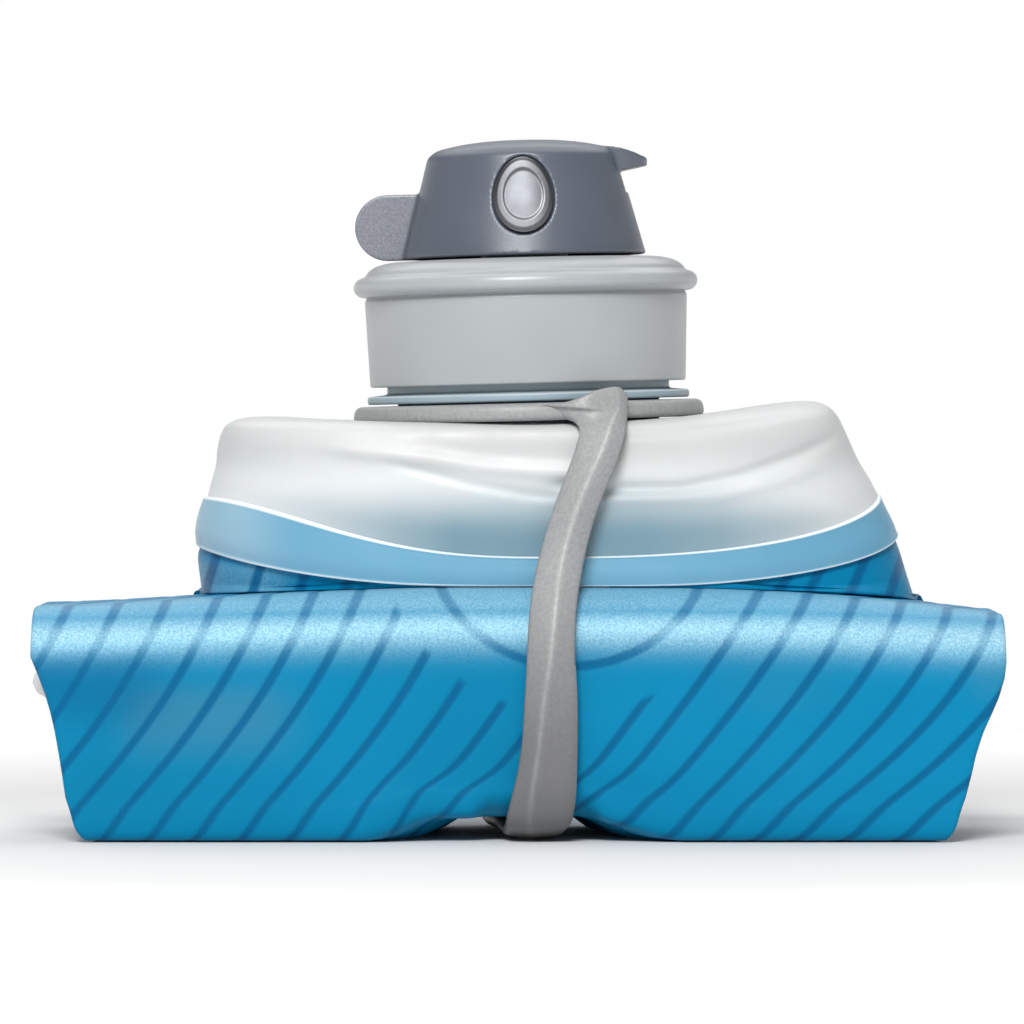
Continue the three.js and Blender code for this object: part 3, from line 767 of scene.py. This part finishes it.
# how high the painted shade, where the film's inside would show through, reaches above the seam, and how
# strongly, along x
reach = np.interp(x, [-42, -32, -20, -6, 15, 32, 45, 52], [2, 6, 10, 12.5, 14, 11, 6, 2])
strength = np.interp(x, [-44, -32, -20, -10, 20, 32, 45, 54], [0, 0.35, 0.75, 1, 1, 0.85, 0.45, 0])
shade = 0.92 * (1 - smooth((above / reach - 0.2) / 0.85)) * strength * (y < 0)
# painted shade: the shoulder's top, which faces the light, is darker, most in the middle
top_shade = (0.42 + 0.25 * smooth((30 - np.abs(x - 3)) / 20)) * smooth((z - 56) / 6)
shoulder = add_creases(shoulder)
add_shell("shoulder_wall", shoulder, SHOULDER_WALL, frosted, ["shoulder_shell"],
          {"shade": shade, "top_shade": top_shade})

# the band has a painted highlight, a whitish lip, along both edges, and stands a little proud of the shoulder
band = outlines(BAND_ROWS, 60)
share = np.linspace(0, 1, len(band))[:, None]
lip = np.maximum(1 - smooth((share - 0.035) / 0.05), smooth((share - 0.945) / 0.03))
edge = np.broadcast_to(lip, band.shape[:2])
outward = (band - [4.0, 0, 0]) * [1, 1, 0]
outward /= np.linalg.norm(outward, axis=-1, keepdims=True)
proud = 0.04 + 0.5 * np.sqrt(clamp(share / 0.07)) + 0.12 * np.exp(-(((share - 0.05) / 0.04) ** 2))
proud = proud + 0.1 * np.exp(-(((share - 0.965) / 0.02) ** 2))
band = band + outward * proud[..., None]
# painted light: the band's left end is paler
pale = np.broadcast_to(0.75 * smooth((-34 - band[..., 0]) / 12), edge.shape)
add_shell("weld", band, BAND_WALL, weld_blue, ["weld_band"], {"edge": edge, "shade": pale})


# ------------ rolled film
HALF_FILM = 0.7
# the roll's centre line from the shoulder inwards: each corner's (y, z), and its bend's radius
ROLL = [((5.3, 30.2), 0), ((5.3, 0.7), 5), ((-37.3, 0.7), 5), ((-37.3, 38.5), 9), ((-0.7, 38.5), 6),
        ((-0.7, 6.7), 4), ((-31.3, 6.7), 4), ((-31.3, 32.5), 5), ((-6.7, 32.5), 4), ((-6.7, 26.0), 0)]
TOP_LINE = 39.5  # the height from which the debossed lines are measured down the front
FRONT_FOOT = 5.7  # where the front's straight part starts

# Debossed lines: where each crosses the top line, and its slope and curve. The left ones share one
# shape. ARC is a ring's middle (x, z) and radius, and no line comes nearer to its middle than CLEAR_RADIUS.
LEFT_LINES = [-77, -69.4, -61.8, -54.3, -46.5, -39, -31.8, -24.7, -17.5, -9.9, -1.9, 6.6, 13.7]
LEFT_SHAPE = (0.36, 0.0085)
RIGHT_LINES = [24.9, 32.3, 38.1, 45.9, 53.6, 61.0, 68.5, 75.5, 83.3, 91.6] + [99.5 + 8 * i for i in range(15)]
ARC = (8.0, 50.4, 23.0)
CLEAR_RADIUS = 30.3
STRAIGHT_FROM = 42  # below this the lines run on straight
LINE_EDGE = 0.5
GROOVE_DEPTH = 0.07


def section(k):
    """The centre line's straight part and arc of film piece k, as corner points and directions."""
    (y0, z0), r0 = ROLL[k - 1]
    (y1, z1), r1 = ROLL[k]
    start, end = np.array([y0, z0]), np.array([y1, z1])
    along = (end - start) / np.linalg.norm(end - start)
    inward = np.array([along[1], -along[0]])
    return start + along * r0, end - along * r1, along, inward, r1


def stations(k, step):
    """(y, z) of the centre line, its inward normal, and the length along it, for film piece k."""
    begin, end, along, inward, radius = section(k)
    length = np.linalg.norm(end - begin)
    n = max(2, math.ceil(length / step))
    t = np.linspace(0, 1, n + 1)
    at = begin + (end - begin) * t[:, None]
    normal = np.repeat(inward[None], n + 1, 0)
    run = length * t
    if radius:
        arc = radius * math.pi / 2
        m = max(6, math.ceil(arc / step))
        turn = np.linspace(0, math.pi / 2, m + 1)[1:, None]
        spoke = inward * np.cos(turn) - along * np.sin(turn)
        centre = end + inward * radius
        at = np.concatenate([at, centre - spoke * radius])
        normal = np.concatenate([normal, spoke])
        run = np.concatenate([run, length + turn[:, 0] * radius])
    return at, normal, run


def piece_length(k):
    """The length of film piece k along its centre line."""
    begin, end, _, _, radius = section(k)
    return float(np.linalg.norm(end - begin) + radius * math.pi / 2)


STARTS = np.cumsum([0] + [piece_length(k) for k in range(1, 10)])


def up_front(z):
    """The length along the film at a height on the front panel's straight part."""
    return STARTS[2] + z - FRONT_FOOT


# Half widths to the left and right along the film.
WIDTH_AT = np.array([
    (0, 66, 66), (STARTS[1] - 8, 66.5, 66.5), (STARTS[2] - 14, 66.8, 66.4), (STARTS[2] - 6.6, 66.0, 64.9),
    (STARTS[2] - 4.4, 67.2, 66.2), (STARTS[2] - 2.6, 68.5, 67.4), (up_front(7), 69.9, 68.9),
    (up_front(10.4), 70.4, 69.8), (up_front(13.5), 70.9, 70.5), (up_front(17.6), 71.6, 71.7),
    (up_front(21), 72.3, 73.0), (up_front(24.2), 73.1, 74.1), (up_front(28), 74.3, 75.0),
    (up_front(31.1), 75.4, 75.3), (STARTS[3], 75.4, 75.3), (STARTS[4] - 6, 75.2, 75.2),
    (STARTS[4], 74, 74), (STARTS[4] + 12, 71, 71), (STARTS[5], 68.5, 68.5), (STARTS[6], 68, 68),
    (STARTS[6] + 10, 69.5, 69.5), (STARTS[7], 71, 71), (STARTS[8], 70.5, 70.5), (STARTS[9], 70, 70),
])
# The strap lifts the bottom film. At each y: how far the lift reaches, and how far it is whole, to the
# left and to the right.
LIFT = 3.7
LIFT_Y = [-38, -30, -10, 8]
LIFT_REACH = ([31, 20, 14, 15], [27, 17, 13, 15])
LIFT_WHOLE = ([17, 9, 5.5, 6], [7, 6, 5.5, 6])
SQUARED, DIAGONAL = 1.6, 0.71  # how far the front's bottom fold is drawn out to a corner
STRAP_X = 3  # about where the strap crosses the front


def line_strength(x, d):
    """How deep a debossed line is at x and at a distance down the film's front: 0 to 1."""
    half = np.interp(d, [0, 20, 40], [0.78, 0.66, 0.5])
    best = np.zeros_like(x)
    down = np.maximum(d, 0)
    capped = np.minimum(down, STRAIGHT_FROM)
    from_arc = np.hypot(x - ARC[0], (TOP_LINE - d) - ARC[1])
    open_ = smooth((from_arc - CLEAR_RADIUS + 0.6) / 1.2)
    families = [(x0, *LEFT_SHAPE) for x0 in LEFT_LINES]
    for i, x0 in enumerate(RIGHT_LINES):
        share = min(max((i - 2) / 5, -0.4), 1)
        families.append((x0, 0.625 - 0.395 * share, 0.0037 + 0.0127 * share))
    for n, (x0, a, b) in enumerate(families):
        slope = a + 2 * b * capped
        line = x0 - a * np.minimum(d, 0) * 0.9 - (a * capped + b * capped**2) - (down - capped) * slope
        away = np.abs(x - line) / np.sqrt(1 + slope**2)
        value = 1 - smooth((away - half) / LINE_EDGE + 0.5)
        # lower down, the left and the right lines each keep to their own side
        inner = 0.62 * np.maximum(d - 22, 0)
        side = smooth(14.5 - inner - x) if n < len(LEFT_LINES) else smooth(x - 11.0 + inner)
        best = np.maximum(best, value * open_ * np.where(d > 12, side, 1))
    ring = 1 - smooth((np.abs(from_arc - ARC[2]) - half) / LINE_EDGE + 0.5)
    return np.maximum(best, ring * (d < 30) * (d > -6))


def film_piece(k, step_x, step_s):
    """Film piece k: its straight stretch and the fold after it, one closed body."""
    at, normal, run = stations(k, step_s)
    s = STARTS[k - 1] + run
    left, right = (np.interp(s, WIDTH_AT[:, 0], WIDTH_AT[:, side])[:, None] for side in (1, 2))
    columns = math.ceil(150 / step_x) + 1
    edge_turn = np.linspace(0, math.pi, 8)[1:-1]
    bends = len(edge_turn)
    # each row runs along the outer face, round the right edge, back along the inner face and round the left edge
    across = -left + (left + right) * np.linspace(0, 1, columns)
    bulge = np.sin(edge_turn) * HALF_FILM
    round_edge = np.broadcast_to(-HALF_FILM * np.cos(edge_turn), (len(s), bends))
    x = np.concatenate([across, right + bulge, across[:, ::-1], -left - bulge], 1)
    off = np.concatenate([
        np.full_like(across, -HALF_FILM), round_edge, np.full_like(across, HALF_FILM), -round_edge], 1)
    outer = off < 0
    base_y = np.broadcast_to(at[:, :1], x.shape)
    base_z = np.broadcast_to(at[:, 1:], x.shape)
    sag = crown_sag(x)
    raised = base_z + sag * smooth((base_z - 12) / 26)
    # how far below the top line each point is, following the film where it leaves the front
    if k == 3:
        d = TOP_LINE - (raised - HALF_FILM * normal[:, 1:])
    elif k < 3:
        d = TOP_LINE - FRONT_FOOT + (STARTS[2] - s)[:, None] + 0 * x
    else:
        d = TOP_LINE - (CROWN + sag) - (s - STARTS[3])[:, None]
    groove_and_shade = line_strength(x, d)
    wave = 0.0
    if k in (2, 3, 4):
        wave = (0.2 * np.sin(x / 9.3 + base_z / 7 + 0.7) + 0.14 * np.sin(x / 5.1 - base_z / 11 + 2.1)
                + 0.12 * np.sin(x / 17 + base_z / 3.9)) * smooth((33 - base_z) / 8) * smooth(base_z / 6)
    inward = off + GROOVE_DEPTH * groove_and_shade * np.where(outer, 1, -0.3) + wave
    y = base_y + inward * normal[:, :1]
    z = raised + inward * normal[:, 1:]
    if k <= 3:
        strap_x = np.interp(base_y, [-40, -18, 1, 7], [3.0, 0.8, -1.4, -2.4])
        reach, whole = (np.where(x < strap_x, *(np.interp(base_y, LIFT_Y, side) for side in table))
                        for table in (LIFT_REACH, LIFT_WHOLE))
        lifted = smooth((reach - np.abs(x - strap_x)) / (reach - whole))
        z = z + LIFT * lifted * (1 - smooth((base_z - 0.7) / 13))
    if k in (2, 3):
        away = np.abs(x - STRAP_X)
        y = y - smooth((30 - base_z) / 26) * smooth((away - 11) / 15) * smooth((-24 - base_y) / 10)
        from_fold = ((base_z - 2.2) ** 2 + (base_y + 35.8) ** 2) / 5.5
        square = DIAGONAL * SQUARED * np.exp(-from_fold) * smooth((away - 7) / 4)
        y, z = y - square, z - square * clamp(z / 1.4)
    grid = np.stack([x, y, z], -1)
    count = grid.shape[1]

    def cap(row):
        """One end: quads between the outer and the inner face, and the two rounded edges."""
        base = row * count
        inner = base + columns + bends
        made = [[base + j, base + j + 1, inner + columns - 2 - j, inner + columns - 1 - j]
                for j in range(columns - 1)]
        right_end = list(range(base + columns - 1, inner + 1))
        left_end = [*range(inner + columns - 1, base + count), base]
        return made + [right_end, left_end]

    faces = quads(len(grid), count, wrap_columns=True) + cap(0) + cap(len(grid) - 1)
    # painted sheen: greyish patches low on the front's left, on its right and at its right corner
    painted_sheen = 0 * x
    if k in (2, 3):
        left_sheen = smooth((27.0 - z) / 6) * smooth((z - 10) / 9) * smooth((-30 - x) / 12) * smooth((x + 66) / 10)
        right_sheen = smooth((30.0 - z) / 4) * smooth((z - 18) / 5) * np.exp(-((x - 40) / 9) ** 2) * 0.5
        corner = smooth((x - 68) / 5) * smooth((31 - z) / 4) * smooth((z - 20) / 5)
        painted_sheen = 0.34 * np.maximum.reduce([left_sheen, 0.5 * right_sheen, 0.5 * corner])
    # painted highlight: a pale band where the light catches the crown's front, a paler crown top, and the lines
    # fading under it
    painted_highlight = 0 * x
    if k in (3, 4):
        level = z - 0.45 * sag
        crown_top_highlight = 0.3 + 0.11 * np.exp(-(((x + 5) / 32) ** 2))
        spread = np.where(level > 33.3, 2.4, 3.3)
        painted_highlight = np.maximum(0.72 * np.exp(-(((level - 33.3) / spread) ** 2)), crown_top_highlight * smooth((level - 34) / 3))
        painted_highlight = painted_highlight * (base_y < -24) * outer
        groove_and_shade = groove_and_shade * (1 - 0.9 * np.minimum(painted_highlight, 0.8))
        if k == 4:
            painted_highlight = crown_top_highlight * smooth((-16 - base_y) / 14) * outer
        # painted shade: a darker patch at the front's left end, drawn with the lines' colour
        left_end_shade = smooth((z - 15) / 8) * smooth((31.5 - z) / 5) * smooth((-50 - x) / 12) * outer * (k == 3)
        groove_and_shade = np.maximum(groove_and_shade, 0.5 * left_end_shade)
    piece = add(f"film_{k}", grid.reshape(-1, 3), faces, film_blue, [f"film_panel_{k}"],
                values={"groove_and_shade": groove_and_shade * outer, "painted_sheen": painted_sheen, "painted_highlight": painted_highlight}, sharp=60)
    if k == 9:
        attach(piece, "base_roll")
        return
    _, end, along, inward, radius = section(k)
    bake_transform(piece)


for k in range(1, 10):
    film_piece(k, *((0.4, 0.4) if k == 3 else (0.5, 0.5) if k < 5 else (0.7, 0.9)))

upper = outlines(FILM_ROWS, 100)
# painted light: the upper fold's left end is paler where the light falls on it
painted_light_left = 0.22 * smooth((-33 - upper[..., 0]) / 8) * (upper[..., 1] < 0) * smooth((upper[..., 2] - 37) / 1.5)
painted_light_left = painted_light_left * smooth((44.2 - upper[..., 2]) / 2.5)
lines = line_strength(upper[..., 0], 25 - upper[..., 2])
add_shell("upper_fold", upper, FILM_WALL, film_blue, ["upper_film"],
          {"groove_and_shade": lines, "painted_sheen": 0 * lines, "painted_highlight": painted_light_left})


# ------------ base film
BASE_Y = -6.7  # the middle of the roll's innermost layer


def base_sheet():
    """The frosted end sheet, with rounded corners and a soft edge."""
    outline = [(-74.5, 26.1), (-76.3, 25.9), (-77.5, 25.0), (-77.9, 23.6), (-77.3, 22.3), (-75.8, 21.5),
               (-73.8, 20.6), (-72.6, 19.2), (-71.6, 17.9), (-70.0, 17.1), (-67.5, 17.0)]
    outline += [(x, 17.0) for x in range(-60, 61, 10)]
    outline += [(67, 17.0), (69.2, 17.6), (70.6, 19.0), (71.0, 21.0), (70.8, 24.2), (69.8, 25.5), (68.0, 26.0)]
    outline += [(x, 26.1) for x in range(60, -71, -10)]
    n = len(outline)
    rings = []
    for off, shrink in ((-0.7, 0.5), (-0.45, 0.1), (0, 0), (0.45, 0.1), (0.7, 0.5)):
        rings.append([(x - math.copysign(shrink, x), BASE_Y + off, z + (shrink if z < 21 else -shrink))
                      for x, z in outline])
    points = np.array(rings).reshape(-1, 3)
    faces = quads(len(rings), n, wrap_columns=True)
    faces += [list(range(n))[::-1], list(range(4 * n, 5 * n))]
    return points, faces


points, faces = base_sheet()
add("base_end", points, faces, frosted, ["base_film"], "base_roll", sharp=40)


# ------------ bail strap
# Each row: x, y, z of the middle, the width to its left and right, where the ridge is across the width
# (-1 left, 1 right), and how strong the ridge is
STRAP_ROWS = np.array([
    [14.1, -26.5, 70.1, 3.4, 2.3, 0.5, 0.2], [14.2, -26.7, 69.5, 6.2, 2.8, 0.5, 0.3],
    [14.3, -26.9, 68.4, 10.6, 2.9, 0.5, 0.35], [14.3, -27.2, 67.3, 12.6, 2.9, 0.5, 0.4],
    [14.2, -27.7, 66.3, 11.4, 2.9, 0.45, 0.6], [13.9, -28.8, 65.2, 6.4, 3.1, 0.35, 0.8],
    [13.4, -30.1, 63.8, 4.2, 3.3, 0.28, 1], [12.3, -31.2, 60.6, 3.5, 3.4, 0.22, 1],
    [10.8, -32.0, 56.6, 3.4, 3.3, 0.1, 1], [8.9, -32.5, 51.6, 3.4, 3.3, 0.05, 1],
    [7.3, -33.2, 46.2, 3.5, 3.4, 0.05, 1], [6.1, -34.9, 41.2, 3.6, 3.6, 0.1, 1],
    [5.4, -38.3, 36.2, 3.7, 3.6, 0.12, 1], [5.1, -40.1, 30.0, 3.8, 3.7, 0.0, 1],
    [5.0, -40.4, 22.5, 4.1, 4.1, -0.25, 1], [4.7, -40.4, 13.2, 4.5, 4.4, -0.4, 1],
    [4.0, -40.3, 7.6, 4.9, 4.9, -0.4, 0.9], [3.2, -38.6, 3.8, 5.1, 5.1, -0.3, 0.6],
    [2.6, -34.4, 2.05, 4.9, 4.9, -0.1, 0.4],
    [0.8, -18, 1.85, 4.7, 4.7, 0, 0.3], [-1.4, 1, 1.95, 4.7, 4.7, 0, 0.3], [-2.4, 6.8, 3.6, 4.7, 4.7, 0, 0.5],
    [-3.4, 10.2, 9, 4.6, 4.6, 0, 0.7], [-5.5, 19.6, 26, 4.3, 4.3, 0, 1], [-8.2, 32.4, 41, 3.9, 3.9, 0, 1],
    [-9.8, 32.6, 52, 3.6, 3.6, 0, 1], [-11.0, 30.6, 62, 3.5, 3.5, 0, 1], [-11.1, 28.0, 65.6, 4.6, 4.6, 0, 0.7],
    [-11.0, 26.8, 67.4, 5.4, 5.4, 0, 0.5], [-10.98, 26.6, 69.0, 3.4, 3.4, 0, 0.4],
])


RING_RADIUS = 28.2
HALF_STRAP = 1.3
ROOT_SINK = 2.9  # how far the roots' thin tips run into the ring


def ring_depth(x):
    """How far the ring's outside is from the neck's axis, in y, at x."""
    return np.sqrt(np.maximum(RING_RADIUS**2 - (x - NECK_X) ** 2, 0))


def strap():
    """Points and faces of the strap, and how strong the painted highlight along its ridge is at each point."""
    steps = np.linalg.norm(np.diff(STRAP_ROWS[:, :3], axis=0), axis=1)
    knots = np.concatenate([[0], np.cumsum(steps**0.75)])
    slopes = np.gradient(STRAP_ROWS, knots, axis=0)
    rows = hermite(STRAP_ROWS, np.linspace(0, knots[-1], 460), knots, slopes)
    at, width_left, width_right, ridge, strong = rows[:, :3], rows[:, 3], rows[:, 4], rows[:, 5], rows[:, 6]
    along = np.gradient(at, axis=0)
    along /= np.linalg.norm(along, axis=1, keepdims=True)
    across = np.array([1.0, 0, 0]) - along * along[:, :1]
    across /= np.linalg.norm(across, axis=1, keepdims=True)
    out = np.cross(along, across)
    rings, ridge_highlight = [], []
    for i in range(len(at)):
        p = ridge[i]
        u = np.concatenate([np.linspace(-1, p, 13), np.linspace(p, 1, 13)[1:]])
        tent = np.where(u < p, (u + 1) / (p + 1), (1 - u) / (1 - p))
        edge = np.sqrt(clamp(1 - np.abs(u) ** 5))
        low, peak = 1 - 0.65 * strong[i], 1 + 0.4 * strong[i]
        top = (low + (peak - low) * tent) * HALF_STRAP * edge
        bottom = -0.9 * HALF_STRAP * edge
        side = np.where(u < 0, width_left[i], width_right[i]) * u
        wide = np.concatenate([side, side[-2:0:-1]])[:, None]
        high = np.concatenate([top, bottom[-2:0:-1]])[:, None]
        ring = at[i] + across[i] * wide + out[i] * high
        # the roots follow the ring's curve, and thin out where they run into it
        follow = float(smooth((at[i][2] - 64.3) / 2.6))
        curve = ring_depth(ring[:, 0]) - ring_depth(at[i][0])
        tips = smooth((np.abs(ring[:, 0] - at[i][0]) - 2.6) / 8.0)
        ring[:, 1] += math.copysign(1, at[i][1]) * follow * (curve - ROOT_SINK * tips)
        rings.append(ring)
        line = strong[i] * np.exp(-(((u - p) * (width_left[i] + width_right[i]) / 2 / 0.42) ** 2))
        ridge_highlight.append(np.concatenate([line, 0 * u[1:-1]]))
    grid = np.array(rings)
    count = grid.shape[1]
    faces = quads(len(grid), count, wrap_columns=True)
    points = grid.reshape(-1, 3)
    ridge_highlight = np.concatenate(ridge_highlight + [np.zeros(2 * (3 * count + 1))])
    # rounded ends: three shrinking rings and a point
    for end, sign in ((0, -1), (len(at) - 1, 1)):
        centre_ring = grid[end].mean(0)
        previous = end * count
        for share, push in ((0.88, 0.3), (0.6, 0.5), (0.25, 0.6)):
            ring = centre_ring + (grid[end] - centre_ring) * share + along[end] * sign * push
            start = len(points)
            points = np.concatenate([points, ring])
            for j in range(count):
                m = (j + 1) % count
                faces.append([previous + j, previous + m, start + m, start + j])
            previous = start
        points = np.concatenate([points, [centre_ring + along[end] * sign * 0.62]])
        tip = len(points) - 1
        for j in range(count):
            faces.append([previous + j, previous + (j + 1) % count, tip])
    return points, faces, ridge_highlight


points, faces, ridge_highlight = strap()
# painted shade: the strap is darker towards the bottom
low_shade = 0.9 * smooth((46 - points[:, 2]) / 38)
# the ridge's painted highlight is weaker lower down
ridge_highlight = ridge_highlight * (0.16 + 0.2 * smooth((points[:, 2] - 12) / 30))
add("strap", points, faces, elastomer, ["bail_strap"], "bail", {"low_shade": low_shade, "ridge_highlight": ridge_highlight},
    sharp=70)


# ------------ floor
FLOOR_RADIUS, FLOOR_SIDES = 0.36, 180
# painted shade: the floor is darker near the middle, where the key light is brightest, so it looks evenly white
FLOOR_SHADE_FADE = (0.13, 0.28)  # the floor is grey inside the first distance and white past the second

floor_mesh = bpy.data.meshes.new("floor")
angles = np.linspace(0, 2 * math.pi, FLOOR_SIDES, endpoint=False)
rim = [(FLOOR_RADIUS * math.cos(a), FLOOR_RADIUS * math.sin(a), 0) for a in angles]
floor_mesh.from_pydata(rim, [], [list(range(FLOOR_SIDES))])
floor = linked("floor", floor_mesh)
n = Nodes("floor_white")
distance = n.new("VectorMath")
distance.operation = "LENGTH"
n.link(n.coords, distance.inputs[0])
n.color(n.ramp(distance.outputs["Value"], (0.66, 0.66, 0.66), (0.97, 0.97, 0.97), FLOOR_SHADE_FADE))
n.set(Roughness=0.9, Specular_IOR_Level=0.1)
floor_mesh.materials.append(n.material)
